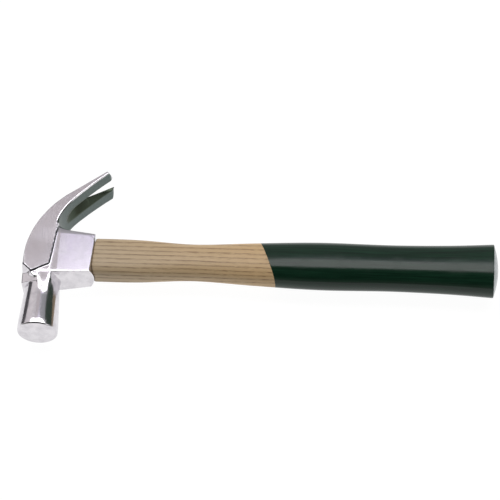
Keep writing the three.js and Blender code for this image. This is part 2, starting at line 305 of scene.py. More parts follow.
def slope_of(shape: Field, points: Array, step: float) -> Array:
    """Gradient of a distance field by central differences.

    Args:
        shape: Distance to the surface, negative inside.
        points: Rows of points.
        step: Half the distance between the two readings.

    Returns:
        Rows of gradients.
    """
    offsets = np.eye(3) * step
    ahead = [shape(*(points + offset).T) for offset in offsets]
    behind = [shape(*(points - offset).T) for offset in offsets]
    return (np.array(ahead) - np.array(behind)).T / (2 * step)


def directions(shape: Field, points: Array, step: float) -> Array:
    """Gradient of a distance field, brought to a length of one.

    Args:
        shape: Distance to the surface, negative inside.
        points: Rows of points.
        step: Half the distance between the two readings.

    Returns:
        Rows of directions.
    """
    slope = slope_of(shape, points, step)
    return slope / (np.linalg.norm(slope, axis=1, keepdims=True) + TINY_LENGTH)


def contoured(shape: Field, low: Array, high: Array, pitch: float) -> Skin:
    """Skins a distance field on a grid of cells.

    A cell that the surface crosses gets one point: where the tangent planes at its crossed edges meet, by
    least squares pulled towards the crossings' mean, so an edge stays sharp. Four cells round a crossed edge
    make a face. The points then slide onto the surface, and normals are the field's gradient.

    Args:
        shape: Distance to the surface, negative inside.
        low: Lowest corner of the grid.
        high: Highest corner.
        pitch: Size of a cell.

    Returns:
        The skin.
    """
    axes = [np.arange(a, b + pitch, pitch) for a, b in zip(low, high)]
    depth = shape(*np.meshgrid(*axes, indexing="ij"))
    cells = np.array(depth.shape) - 1
    crossings, owners, faces = [], [], []
    for axis in range(3):
        near = np.moveaxis(depth, axis, 0)[:-1]
        far = np.moveaxis(depth, axis, 0)[1:]
        found = np.nonzero((near < 0) != (far < 0))
        share = near[found] / (near[found] - far[found])
        corner = np.empty((len(share), 3), int)
        side, up = (axis + 1) % 3, (axis + 2) % 3
        rest = [a for a in range(3) if a != axis]
        corner[:, axis], corner[:, rest[0]], corner[:, rest[1]] = found
        point = corner.astype(float)
        point[:, axis] += share
        ring = []
        for back_side, back_up in ((1, 1), (0, 1), (0, 0), (1, 0)):
            cell = corner.copy()
            cell[:, side] -= back_side
            cell[:, up] -= back_up
            ring.append(np.ravel_multi_index(cell.T, cells))
        ring = np.stack(ring, axis=-1)
        leaving = near[found] < 0
        faces.append(np.where(leaving[:, None], ring, ring[:, ::-1]))
        crossings.append(np.repeat(np.asarray(low) + point * pitch, 4, axis=0))
        owners.append(ring.reshape(-1))
    faces, crossings, owners = map(np.concatenate, (faces, crossings, owners))
    used, number = np.unique(owners, return_inverse=True)
    lookup = np.zeros(int(np.prod(cells)), int)
    lookup[used] = np.arange(len(used))

    def total(values: Array) -> Array:
        """Sums values over the cell that each crossing belongs to."""
        return np.bincount(number, weights=values, minlength=len(used))

    tangent = directions(shape, crossings, SLOPE_STEP)
    middle = np.stack([total(c) for c in crossings.T], axis=-1) / total(np.ones(len(number)))[:, None]
    short = np.einsum("ij,ij->i", tangent, crossings - middle[number])
    matrix = np.stack([[total(a * b) for a in tangent.T] for b in tangent.T]).transpose(2, 0, 1)
    wanted = np.stack([total(a * short) for a in tangent.T], axis=-1)
    shift = np.linalg.solve(matrix + MEAN_PULL * np.eye(3), wanted[..., None])[..., 0]
    points = middle + np.clip(shift, -SHIFT_LIMIT * pitch, SHIFT_LIMIT * pitch)
    for _ in range(SLIDES):
        slope = slope_of(shape, points, SLOPE_STEP)
        fall = shape(*points.T) / (np.einsum("ij,ij->i", slope, slope) + TINY_SLOPE)
        points = points - slope * np.clip(fall, -SLIDE_LIMIT * pitch, SLIDE_LIMIT * pitch)[:, None]
    return Skin(points, lookup[faces], normals=directions(shape, points, NORMAL_STEP))


# Finishes


@dataclass(frozen=True)
class Graph:
    """A node tree, with the few kinds of node that the finishes and the room are made of."""

    tree: bpy.types.NodeTree

    def place(self, kind: str = "Object") -> Socket:
        """Coordinates: the object's own in metres, unless another kind is named."""
        return add_node(self.tree, "ShaderNodeTexCoord").outputs[kind]

    def axis(self, place: Socket, name: str) -> Socket:
        """One axis of coordinates."""
        return add_node(self.tree, "ShaderNodeSeparateXYZ", {"Vector": place}).outputs[name]

    def point_value(self, name: str) -> Socket:
        """A value kept at the mesh's points."""
        return add_node(self.tree, "ShaderNodeAttribute", attribute_name=name).outputs["Fac"]

    def stretched(self, place: Socket, sizes: Triple, turn: float = 0.0) -> Socket:
        """Coordinates counted in sizes given in millimetres along each axis, and turned about Z."""
        inputs = {"Vector": place, "Rotation": (0.0, 0.0, turn), "Scale": tuple(map(per_metre, sizes))}
        return add_node(self.tree, "ShaderNodeMapping", inputs).outputs["Vector"]

    def noise(
        self,
        place: Socket,
        scale: float = 1.0,
        detail: float = 2.0,
        roughness: float = 0.5,
        output: str = "Fac",
    ) -> Socket:
        """Cloudy noise.

        Args:
            place: Coordinates.
            scale: Clouds in one unit of the coordinates.
            detail: How many times finer clouds are laid over.
            roughness: How strong the finer clouds are.
            output: Fac for one value, Color for three.

        Returns:
            The noise.
        """
        inputs = {"Vector": place, "Scale": scale, "Detail": detail, "Roughness": roughness}
        return add_node(self.tree, "ShaderNodeTexNoise", inputs).outputs[output]

    def ramp(self, value: Socket, ends: Pair, low: str, high: str) -> Socket:
        """A colour that runs from one to another between two values.

        Args:
            value: What the colour follows.
            ends: Where it starts and where it ends.
            low: Hex code at the start.
            high: Hex code at the end.

        Returns:
            The colour.
        """
        node = add_node(self.tree, "ShaderNodeValToRGB", {"Fac": value})
        for element, position, code in zip(node.color_ramp.elements, ends, (low, high)):
            element.position, element.color = position, linear(code)
        return node.outputs["Color"]

    def remap(self, value: Socket, ends: Pair, to: Pair = (0.0, 1.0), curve: str = "LINEAR") -> Socket:
        """A value brought from one range to another, and kept inside it.

        Args:
            value: The value.
            ends: Range that it comes from.
            to: Range that it goes to.
            curve: Blender's name for the way between.

        Returns:
            The new value.
        """
        names = ("From Min", "From Max", "To Min", "To Max")
        inputs = {"Value": value} | dict(zip(names, (*ends, *to)))
        return add_node(self.tree, "ShaderNodeMapRange", inputs, interpolation_type=curve).outputs["Result"]

    def mix(self, share: Socket, first: Socket | str, second: Socket | str) -> Socket:
        """A mix of two colours.

        Args:
            share: How much of the second.
            first: A socket or a hex code.
            second: A socket or a hex code.

        Returns:
            The colour.
        """
        first, second = (linear(colour) if isinstance(colour, str) else colour for colour in (first, second))
        inputs = {0: share, 6: first, 7: second}
        return add_node(self.tree, "ShaderNodeMix", inputs, data_type="RGBA").outputs[2]

    def blend(self, share: Socket | float, first: Socket, second: Socket | float) -> Socket:
        """A mix of two values."""
        inputs = {0: share, 2: first, 3: second}
        return add_node(self.tree, "ShaderNodeMix", inputs, data_type="FLOAT").outputs[0]

    def sum_of(self, operation: str, *values: Socket | float) -> Socket:
        """A sum in numbers, by Blender's name for it."""
        inputs = dict(enumerate(values))
        return add_node(self.tree, "ShaderNodeMath", inputs, operation=operation).outputs[0]

    def vector_sum(self, operation: str, *values: Socket | Triple) -> Socket:
        """A sum in vectors, by Blender's name for it."""
        inputs = dict(enumerate(values))
        return add_node(self.tree, "ShaderNodeVectorMath", inputs, operation=operation).outputs[0]

    def bump(self, height: Socket, strength: float, relief: float) -> Socket:
        """Normals bent by a height, whose relief is in millimetres."""
        inputs = {"Height": height, "Strength": strength, "Distance": relief * MILLIMETRE}
        return add_node(self.tree, "ShaderNodeBump", inputs).outputs["Normal"]

    def surface(self, inputs: dict[str, Socket | float]) -> None:
        """Fills or links the shader's own inputs."""
        fill(self.tree, self.tree.nodes["Principled BSDF"], inputs)


@dataclass(frozen=True)
class PolishedSteel:
    """Forged tool steel, ground and polished outside and left dark from the forge in claw hollow and slot.

    The eye gets mirror-like reflections softened by fine polishing lines, small dull smudges, bright rubbed
    edges with a painted highlight, a grey-green skin where no wheel reaches, painted shade that darkens the
    walls of slot and eye further, and a line of painted shade inside the rim of the cheek's foot.
    """

    bright: str = "#dcd9dd"
    dull: str = "#cac7cc"
    # Rubbed edges, lighter also as a painted highlight along them
    rubbed: str = "#e6e4e8"
    forged: str = "#5d6865"
    pitted: str = "#4d5754"
    # Painted shade: the walls of slot and eye, darker than the forge's skin elsewhere
    deep: str = "#454d42"
    # Painted shade: a dark line just inside the rim of the cheek's foot
    painted_shade: str = "#55545a"
    line_width: float = 0.5
    line_length: float = 14
    line_turn: float = 0.35
    streaked: Pair = (0.35, 0.75)
    streak_roughness: Pair = (0.0, 0.06)
    smudge: float = 9
    smudged: Pair = (0.35, 0.6)
    glossy: Pair = (0.3, 0.7)
    gloss_roughness: Pair = (0.17, 0.09)
    pit: float = 1.1
    pits_seen: Pair = (0.3, 0.7)
    forged_roughness: float = 0.34
    bump: float = 0.05
    relief: float = 0.08

    def material(self) -> bpy.types.Material:
        """Builds the material: object coordinates for patterns, point values for bare and rubbed places.

        The rubbed edges also carry a painted highlight, and further point values lay painted shade.

        Returns:
            The material.
        """
        made = new_material("polished_forged_steel")
        nodes = Graph(made.node_tree)
        place = nodes.place()
        bare, cut, edge, foot_shade_line = map(nodes.point_value, ("unground", "slot_wall", "edge", "foot_shade_line"))
        smudges = nodes.noise(place, per_metre(self.smudge), detail=5.0, roughness=0.6)
        # Real polishing lines are finer than the render shows, so they are drawn half a millimetre wide.
        sizes = (self.line_width, self.line_length, self.line_width)
        lines = nodes.noise(nodes.stretched(place, sizes, self.line_turn), detail=3.0, roughness=0.7)
        pits = nodes.noise(place, per_metre(self.pit))
        # Edges get the rubbed colour, which also paints a highlight along them
        polished = nodes.mix(edge, nodes.ramp(smudges, self.smudged, self.dull, self.bright), self.rubbed)
        # On the walls of slot and eye, painted shade darkens the forge's skin
        recess = nodes.mix(cut, nodes.ramp(pits, self.pits_seen, self.pitted, self.forged), self.deep)
        # Painted shade darkens a line just inside the rim of the cheek's foot
        colour = nodes.mix(foot_shade_line, nodes.mix(bare, polished, recess), self.painted_shade)
        gloss = nodes.remap(smudges, self.glossy, self.gloss_roughness)
        streaks = nodes.remap(lines, self.streaked, self.streak_roughness)
        rough = nodes.blend(bare, nodes.sum_of("ADD", gloss, streaks), self.forged_roughness)
        bent = nodes.bump(nodes.blend(bare, lines, pits), self.bump, self.relief)
        nodes.surface({"Base Color": colour, "Metallic": 1.0, "Roughness": rough, "Normal": bent})
        return made


@dataclass(frozen=True)
class Hickory:
    """Straight-grained hickory, shaved, sanded and oiled.

    The eye gets tan wood with darker lengthwise rings a few millimetres apart, short open pores, and a
    surface that is greyer towards the head.
    """

    early: str = "#c8a97e"
    late: str = "#7f5f3a"
    grey_early: str = "#bda788"
    grey_late: str = "#6b5439"
    pore: str = "#5f472c"
    greyer_near_head: Pair = (-110, 0)  # along the part's X
    pith: Triple = (0, 52, 12)
    drift: float = 2.4
    drift_sizes: Triple = (150, 12, 12)
    ring: float = 2.7
    ring_late: Pair = (0.5, 0.95)
    ring_depth: Pair = (0.12, 0.9)
    fibre_width: float = 0.5
    fibre_length: float = 9
    fibre_seen: Pair = (0.36, 0.6)
    fibre_depth: Pair = (0.1, 1.0)
    pore_width: float = 0.45
    pore_length: float = 7
    pore_seen: Pair = (0.12, 0.3)
    pore_depth: Pair = (0.75, 0.0)
    rubbed: Pair = (0.3, 0.7)
    roughness: Pair = (0.38, 0.58)
    bump: float = 0.35
    relief: float = 0.12
    name: str = "oiled_hickory"

    def material(self) -> bpy.types.Material:
        """Builds the material on object coordinates, with the grain along X.

        Returns:
            The material.
        """
        made = new_material(self.name)
        nodes = Graph(made.node_tree)
        place = nodes.place()
        wander = nodes.noise(nodes.stretched(place, self.drift_sizes), output="Color")
        sideways = (0.0, self.drift * MILLIMETRE, self.drift * MILLIMETRE)
        centred = nodes.vector_sum("SUBTRACT", wander, NOISE_MEAN)
        pushed = nodes.vector_sum("MULTIPLY_ADD", centred, sideways, place)
        # The pith lies below and in front, so that rings cut the sides as near-parallel lines.
        from_pith = nodes.vector_sum("ADD", pushed, tuple(length * MILLIMETRE for length in self.pith))
        pace = 2 * math.pi / WAVE_FACTOR * per_metre(self.ring)
        rings = add_node(
            nodes.tree,
            "ShaderNodeTexWave",
            {"Vector": from_pith, "Scale": pace, "Distortion": 0.0},
            wave_type="RINGS",
            rings_direction="X",
            wave_profile="SAW",
        ).outputs["Fac"]
        fibre_place = nodes.stretched(pushed, (self.fibre_length, self.fibre_width, self.fibre_width))
        fibres = nodes.noise(fibre_place, detail=3.0, roughness=0.65)
        # Hickory's pores are thinner than the render shows, so they are drawn nearly half a millimetre wide.
        pore_place = nodes.stretched(pushed, (self.pore_length, self.pore_width, self.pore_width))
        cells = add_node(nodes.tree, "ShaderNodeTexVoronoi", {"Vector": pore_place, "Scale": 1.0})
        pores = nodes.remap(cells.outputs["Distance"], self.pore_seen, self.pore_depth)
        # The wood runs greyer towards the head
        greyer_near_head = nodes.remap(nodes.axis(place, "X"), tuple(end * MILLIMETRE for end in self.greyer_near_head))
        early = nodes.mix(greyer_near_head, self.grey_early, self.early)
        late = nodes.mix(greyer_near_head, self.grey_late, self.late)
        latewood = nodes.remap(rings, self.ring_late, self.ring_depth, "SMOOTHSTEP")
        broken = nodes.remap(fibres, self.fibre_seen, self.fibre_depth)
        wood = nodes.mix(nodes.sum_of("MULTIPLY", latewood, broken), early, late)
        veined = nodes.sum_of("MULTIPLY", pores, rings)
        colour = nodes.mix(veined, wood, self.pore)
        rough = nodes.remap(fibres, self.rubbed, self.roughness)
        bent = nodes.bump(nodes.sum_of("SUBTRACT", fibres, veined), self.bump, self.relief)
        nodes.surface({"Base Color": colour, "Roughness": rough, "Normal": bent})
        return made


@dataclass(frozen=True)
class DippedLacquer:
    """Dark green alkyd lacquer, dipped in one coat over the wood.

    The eye gets a deep, glossy green with a clear highlight along the grip, the faint swell of a dipped film,
    wood grain that shows through it as fine ridges, a few dull rubbed patches, and a butt in pale grey
    with darker patches.
    """

    green: str = "#0b2116"
    thin: str = "#163324"
    grain_seen: Pair = (0.3, 0.75)
    # Pale grey of the butt, with darker patches
    worn: str = "#b6bcbd"
    butt_dark: str = "#767d7c"
    butt_dark_seen: Pair = (0.36, 0.58)
    stain_grain: float = 0.45
    butt_grey_from: float = 159.35  # along the part's X
    butt_grey_band: float = 0.4
    ragged: float = 0.6
    swell: float = 11
    grain_width: float = 1.1
    grain_length: float = 45
    grain_relief: float = 0.3
    rub: float = 16
    rubbed: Pair = (0.45, 0.75)
    roughness: Pair = (0.13, 0.26)
    refraction: float = 1.52
    reflection: float = 0.28
    bump: float = 0.12
    relief: float = 0.25

    def material(self) -> bpy.types.Material:
        """Builds the material on object coordinates, with the ridges along X.

        Returns:
            The material.
        """
        made = new_material("dipped_green_lacquer")
        nodes = Graph(made.node_tree)
        place = nodes.place()
        swell = nodes.noise(place, per_metre(self.swell), detail=1.0)
        drawn = nodes.stretched(place, (self.grain_length, self.grain_width, self.grain_width))
        grain = nodes.noise(drawn, roughness=0.6)
        rubs = nodes.noise(place, per_metre(self.rub), detail=6.0, roughness=0.65)
        coat = nodes.ramp(grain, self.grain_seen, self.green, self.thin)
        along = nodes.axis(place, "X")
        ragged = nodes.sum_of("MULTIPLY_ADD", rubs, self.ragged * MILLIMETRE, along)
        band = (self.butt_grey_from * MILLIMETRE, (self.butt_grey_from + self.butt_grey_band) * MILLIMETRE)
        patches = nodes.blend(self.stain_grain, rubs, grain)
        butt = nodes.ramp(patches, self.butt_dark_seen, self.butt_dark, self.worn)
        # The butt turns pale grey from a ragged line at its rim
        colour = nodes.mix(nodes.remap(ragged, band), coat, butt)
        rough = nodes.remap(rubs, self.rubbed, self.roughness)
        bent = nodes.bump(nodes.blend(self.grain_relief, swell, grain), self.bump, self.relief)
        nodes.surface({"Base Color": colour, "Roughness": rough, "Normal": bent})
        nodes.surface({"IOR": self.refraction, "Specular IOR Level": self.reflection})
        return made


@dataclass(frozen=True)
class RolledSteel:
    """Mild steel strip, cut and hammered in.

    The eye gets blue-grey mill scale, a bright struck end and a trace of rust.
    """

    scale: str = "#6d7074"
    struck: str = "#a5a6a8"
    rust: str = "#6a4a35"
    blotch: float = 1.6
    blotched: Pair = (0.35, 0.65)
    worn: Pair = (0.3, 0.7)
    roughness: Pair = (0.55, 0.3)
    speck: float = 0.7
    rusted: Pair = (0.58, 0.7)
    rust_depth: Pair = (0.0, 0.8)
    bump: float = 0.4
    relief: float = 0.1

    def material(self) -> bpy.types.Material:
        """Builds the material on object coordinates.

        Returns:
            The material.
        """
        made = new_material("rolled_mild_steel")
        nodes = Graph(made.node_tree)
        place = nodes.place()
        blotches = nodes.noise(place, per_metre(self.blotch), detail=4.0)
        specks = nodes.noise(place, per_metre(self.speck), detail=3.0)
        metal = nodes.ramp(blotches, self.blotched, self.scale, self.struck)
        colour = nodes.mix(nodes.remap(specks, self.rusted, self.rust_depth), metal, self.rust)
        rough = nodes.remap(blotches, self.worn, self.roughness)
        bent = nodes.bump(specks, self.bump, self.relief)
        nodes.surface({"Base Color": colour, "Metallic": 1.0, "Roughness": rough, "Normal": bent})
        return made


# The hammer's pieces


@dataclass
class HammerHead:
    """The forged head, as one field of distances so that its masses run into each other as a forging's do.

    Points are given as x along the handle, y towards the claw, and across from the middle plane. Fields that
    hold a pair of limits say where something starts and where it is complete.
    """

    # Claw and spine
    half_width: float = 16.5
    cheek: float = 14
    flare_length: float = 80
    flare_power: float = 1.3
    spine: float = 14
    spine_edge: float = 0.8
    tips: Pair = (40.8, 65.3)  # x and y
    claw_angle: float = math.radians(36.4)
    claw_radius: float = 67.9
    claw_length: float = 53
    claw_overlap: float = 14
    overlap_edge: float = 2
    tip_thickness: float = 2.2
    root_thickness: float = 10.55
    taper_power: float = 1.41
    hollow_lean: float = 0.98
    setback: float = 3.2
    tip_land: float = 0.5
    tip_bevel: Pair = (0.94, 0.34)  # direction that the bevel faces, along and up
    tip_bevel_length: float = 10

    # Nail slot
    slot_half: float = 5.7
    slot_vee: float = 22.9
    slot_length: float = 45.2
    slot_nose: float = 12
    slot_least: float = 0.3
    slot_overrun: float = 1
    groove_end: float = 0.97
    groove_lean: float = 4
    opening_edge: float = 0.4

    # Cheek's foot and the facet on its left
    foot_left: Pair = (-14, -11.8)  # x and y, as for its other corners
    foot_tip: Pair = (-7.2, -18.1)
    foot_right: Pair = (4.8, -11.8)
    foot_top: Pair = (8.0, 20.1)
    foot_top_lean: float = 4
    foot_drop: float = math.radians(62)
    foot_chamfer: float = 0.3
    diamond: Triple = (12.6, 0.467, 0.111)  # height at its corner, rise along x and along y
    diamond_corner: Pair = (-2.1, -21.7)
    diamond_middle: float = -18.2
    diamond_half: float = 6.2
    diamond_fillet: float = 0.2

    # Pad and tongue under the foot
    pad: float = 12.7
    pad_low: float = -21.7
    pad_left: float = -7.5
    pad_top: float = -8
    pad_inside: float = 8
    pad_edge: float = 0.8
    pad_top_edge: float = 1
    drop_edge: float = 0.5
    rim_lean: Pair = (0.9, 0.436)  # how far a rim faces outwards and upwards
    tongue_from: float = 17
    tongue_middle: Pair = (2, -20)
    tongue_half: Pair = (4.6, 12.5)  # half axes along x and y
    tongue_slope: float = 0.012
    tongue_radius: float = 160
    tongue_swell: float = 0.3
    tongue_swells: Pair = (18, 27)
    tongue_edge: Pair = (0.6, 1.2)  # radius on the left, and what the right adds
    tongue_widens: Pair = (1, 6)

    # Cheeks and socket
    cheek_roll: Pair = (0.7, 4)  # width and radius
    cheek_edge: float = 0.15
    cove: Pair = (2.6, 0.22)  # width and height
    cove_fillet: float = 0.6
    upper_crown: Pair = (13, 20)  # start and radius
    lower_crown: Pair = (16, 6)  # start and radius
    body: Pair = (17.6, 12.7)  # half height and half width
    mouth: Pair = (15.05, 10.05)  # half height and half width
    mouth_edge: float = 0.5
    mouth_share: float = 1.2
    lip: Pair = (0.8, 2.6)  # out underneath, and back from there at the cheeks
    body_reach: float = 10
    socket_length: float = 34
    root_fillet: float = 8.5
    edge: float = 0.35
    hollow_chamfer: float = 0.9
    hollow_chamfer_least: float = 0.35
    hollow_chamfer_run: float = 25
    hollow_side: Pair = (0.35, 0.7)
    hollow_from: Pair = (14, 17)
    hollow_edge: float = 0.15
    back_chamfer: float = 1.0
    back_chamfer_run: Pair = (-12, 6)
    back_edge: float = 0.2

    # Eye
    eye_top: Pair = (12.7, 8.5)  # half height and half width, as for waist and mouth
    eye_waist: Pair = (11.7, 6.8)
    eye_mouth: Pair = (12.3, 7.3)
    eye_waist_x: float = 14
    eye_overrun: float = 1
    eye_corner: float = 4.5

    # Poll
    neck: float = 12.2
    neck_offset: float = 29
    neck_run: float = 6
    face: float = 14
    ring: float = 4.5
    ring_taper: float = 0.06
    ring_fillet: float = 0.4
    poll_length: float = 60
    poll_root: float = 6
    poll_root_edge: float = 1
    poll_fillet: Pair = (0.8, 1.8)  # radius on the left and on the right
    poll_fillet_run: Pair = (-2, 7)
    face_chamfer: float = 0.9
    face_crown: float = 0.5
    face_edge: float = 0.25

    # Skin, where it is dark or rubbed, and where shade and highlights are painted
    pitch: float = 0.46
    margin_low: Triple = (1.5, 1.4, 1.37)
    margin_high: Triple = (2, 2, 1.5)
    slot_dark: Pair = (0.15, 0.7)
    slot_dark_depth: Pair = (0.05, 0.4)
    eye_dark: Pair = (0.1, 0.6)
    sunk: Pair = (0.55, 0.95)
    hollow_dark_depth: Pair = (1.2, 2)
    hollow_dark_from: Pair = (16.2, 16.8)
    socket_clear_x: Pair = (14, 22)
    socket_clear_y: Pair = (18, 20)
    # Where the line of painted shade lies, just inside the rim of the cheek's foot
    foot_shade_line: Pair = (0.25, 0.6)
    foot_shade_inset: float = 0.15
    foot_shade_across: Pair = (10, 11)
    foot_shade_top: Pair = (14, 20)
    rub_reach: float = 0.7
    rub: Pair = (0.06, 0.2)

    def back(self, x: Array, y: Array) -> tuple[Array, Array]:
        """The claw's back: a straight line from the tips, an arc, then the upright spine.

        Args:
            x: Along the handle.
            y: Towards the claw.

        Returns:
            Distance outside the back, and distance from the tips along it.
        """
        turn = math.pi / 2 - self.claw_angle
        tangent = self.claw_radius * math.tan(turn / 2)
        span = self.tips[0] + self.spine
        straight = span / math.cos(self.claw_angle) - tangent
        centre_x = self.claw_radius - self.spine
        centre_y = self.tips[1] - span * math.tan(self.claw_angle) - tangent
        cos, sin = math.cos(self.claw_angle), math.sin(self.claw_angle)
        dx, dy = x - centre_x, y - centre_y
        ahead = dx * cos + dy * sin
        angle = np.arctan2(dy, dx)
        on_line = (ahead > 0) | (dx > 0)
        on_arc = ~on_line & (dy > 0)
        outside = np.where(
            on_line,
            dy * cos - dx * sin - self.claw_radius,
            np.where(on_arc, np.hypot(dx, dy) - self.claw_radius, -dx - self.claw_radius),
        )
        turned = np.where(on_arc, angle - math.pi / 2 - self.claw_angle, turn)
        round_arc = straight + self.claw_radius * turned + np.maximum(-dy, 0) * ~on_arc
        return outside, np.where(on_line, straight - ahead, round_arc)

    def thickness(self, distance: Array) -> Array:
        """Claw's thickness: from the tip's to the root's by a power of the distance from the tips."""
        share = np.maximum(distance, 0) / self.claw_length
        return self.tip_thickness + (self.root_thickness - self.tip_thickness) * share**self.taper_power

    def claw(self, x: Array, y: Array) -> Array:
        """Side view of the claw: the strip between its back and its hollow.

        Args:
            x: Along the handle.
            y: Towards the claw.

        Returns:
            Distance, negative inside.
        """
        outside, distance = self.back(x, y)
        hollow = (-outside - self.thickness(distance)) * self.hollow_lean
        strip = np.maximum(outside, hollow)
        return eased_max(strip, distance - self.claw_length - self.claw_overlap, self.overlap_edge)

    def ends(self, x: Array, y: Array, across: Array) -> Array:
        """What lies beyond the prongs' ends: cut aslant to their outer corners, sharpened on the hollow side.

        Args:
            x: Along the handle.
            y: Towards the claw.
            across: From the middle plane.

        Returns:
            Distance beyond the ends.
        """
        slope = self.setback / (self.half_width - self.slot_half)
        distance = self.back(x, y)[1]
        aslant = np.maximum(across - self.slot_half, 0) * slope
        along, up = self.tip_bevel
        bevel = (x - self.tips[0]) * along - (y - self.tips[1]) * up - self.tip_land
        bevel = np.minimum(bevel, self.tip_bevel_length - distance)
        return np.maximum((aslant - distance) / math.hypot(1, slope), bevel)

    def half_sizes(self, x: Array) -> tuple[Array, Array]:
        """Half height and half width of the socket, both narrowing in a line from the body to the mouth.

        Args:
            x: Along the handle.

        Returns:
            Half height and half width.
        """
        share = (x - self.body_reach) / (self.socket_length - self.body_reach)
        share = np.clip(share, 0, self.mouth_share)
        height = self.body[0] + (self.mouth[0] - self.body[0]) * share
        return height, self.body[1] + (self.mouth[1] - self.body[1]) * share

    def mouth_lip(self, y: Array, across: Array) -> Array:
        """How far the socket's mouth stands out: drawn back at the cheeks and out in a lip underneath.

        Args:
            y: Towards the claw.
            across: From the middle plane.

        Returns:
            Distance along the handle.
        """
        side = (across / self.mouth[1]) ** 2
        low = np.clip((self.mouth[0] - y) / (2 * self.mouth[0]), 0, 1)
        return low * (self.lip[0] - self.lip[1] * np.minimum(side, 1))

    def beyond(self, x: Array, y: Array, start: Pair, end: Pair) -> Array:
        """Distance to the right of a line seen from its start to its end."""
        run = np.subtract(end, start) / math.dist(start, end)
        return (x - start[0]) * run[1] - (y - start[1]) * run[0]

    def foot_rim(self, x: Array, y: Array) -> Array:
        """Distance to the outline of the cheek's foot in the side view, negative on the cheek."""
        corners = (self.foot_left, self.foot_tip, self.foot_right, self.foot_top)
        return np.maximum.reduce([self.beyond(x, y, *ends) for ends in zip(corners, corners[1:])])

    def ground(self, x: Array, y: Array) -> Array:
        """Half width over the cheeks: even along the spine, wider by a power of the nearness to the tips."""
        share = np.clip(1 - self.back(x, y)[1] / self.flare_length, 0, 1)
        return self.cheek + (self.half_width - self.cheek) * share**self.flare_power

    def drop(self, x: Array, y: Array, across: Array) -> Array:
        """The steep facet that leaves the cheek's foot on the left, down to the poll."""
        beside = -self.beyond(x, y, self.foot_left, self.foot_tip)
        return -beside * math.sin(self.foot_drop) + (across - self.cheek) * math.cos(self.foot_drop)

    def plate(self, x: Array, y: Array, across: Array) -> Array:
        """Spine and claw up to their ground cheeks, which stand over the socket and roll off towards it.

        Args:
            x: Along the handle.
            y: Towards the claw.
            across: From the middle plane.

        Returns:
            Distance over the cheek.
        """
        lean = self.foot_top_lean
        over = self.beyond(x, y, self.foot_right, self.foot_top) - lean * np.maximum(y - self.foot_top[1], 0)
        over = np.where(y > self.foot_top[1], over / math.hypot(1, lean), over)
        width, radius = self.cheek_roll
        roll = np.clip(over + width, 0, 2 * width) ** 2 / (2 * radius)
        top = eased_max(across - self.ground(x, y) + roll, over, self.cheek_edge)
        low = self.beyond(x, y, self.foot_tip, self.foot_right)
        return np.maximum(np.maximum(top, low), (top + low) / math.sqrt(2) + self.foot_chamfer)

    def socket(self, x: Array, y: Array, across: Array) -> Array:
        """The socket's cheek: crowned towards both edges, with a shallow cove up to the plate beside it.

        Args:
            x: Along the handle.
            y: Towards the claw.
            across: From the middle plane.

        Returns:
            Distance over the cheek.
        """
        high = np.maximum(y - self.upper_crown[0], 0) ** 2 / (2 * self.upper_crown[1])
        low = np.maximum(-y - self.lower_crown[0], 0) ** 2 / (2 * self.lower_crown[1])
        over = np.maximum(self.beyond(x, y, self.foot_right, self.foot_top), 0)
        cove = self.cove[1] * np.maximum(1 - over / self.cove[0], 0) ** 2
        return across - self.half_sizes(x)[1] - cove + high + low

    def level(self, x: Array, y: Array, across: Array) -> Array:
        """How far a point lies over the cheek, be it the plate or the socket."""
        return eased_min(self.plate(x, y, across), self.socket(x, y, across), self.cove_fillet)

    def cheeks(self, x: Array, y: Array, across: Array) -> Array:
        """Claw, spine and socket: their side view as wide as plate or socket, chamfered along the hollow.

        Args:
            x: Along the handle.
            y: Towards the claw.
            across: From the middle plane.

        Returns:
            Distance, negative inside.
        """
        height = self.half_sizes(x)[0]
        end = x - self.socket_length - self.mouth_lip(y, across)
        box = eased_max(np.abs(y) - height, end, self.mouth_edge)
        outline = eased_min(self.claw(x, y), box, self.root_fillet)
        top = self.level(x, y, across)
        outside, distance = self.back(x, y)
        inner = eased_step(*self.hollow_side, -outside / self.thickness(distance))
        inner = inner * eased_step(*self.hollow_from, y)
        least = self.hollow_chamfer_least
        broad = self.hollow_chamfer * (least + (1 - least) * eased_step(0, self.hollow_chamfer_run, distance))
        chamfer = (outline + top + broad * inner) / math.sqrt(2)
        edge = eased_max(outline, top, self.edge)
        worn = self.back_chamfer * (1 - eased_step(*self.back_chamfer_run, y))
        edge = eased_max(edge, (outside + top) / math.sqrt(2) + worn, self.back_edge)
        return np.where(inner > 0, eased_max(edge, chamfer, self.hollow_edge), edge)

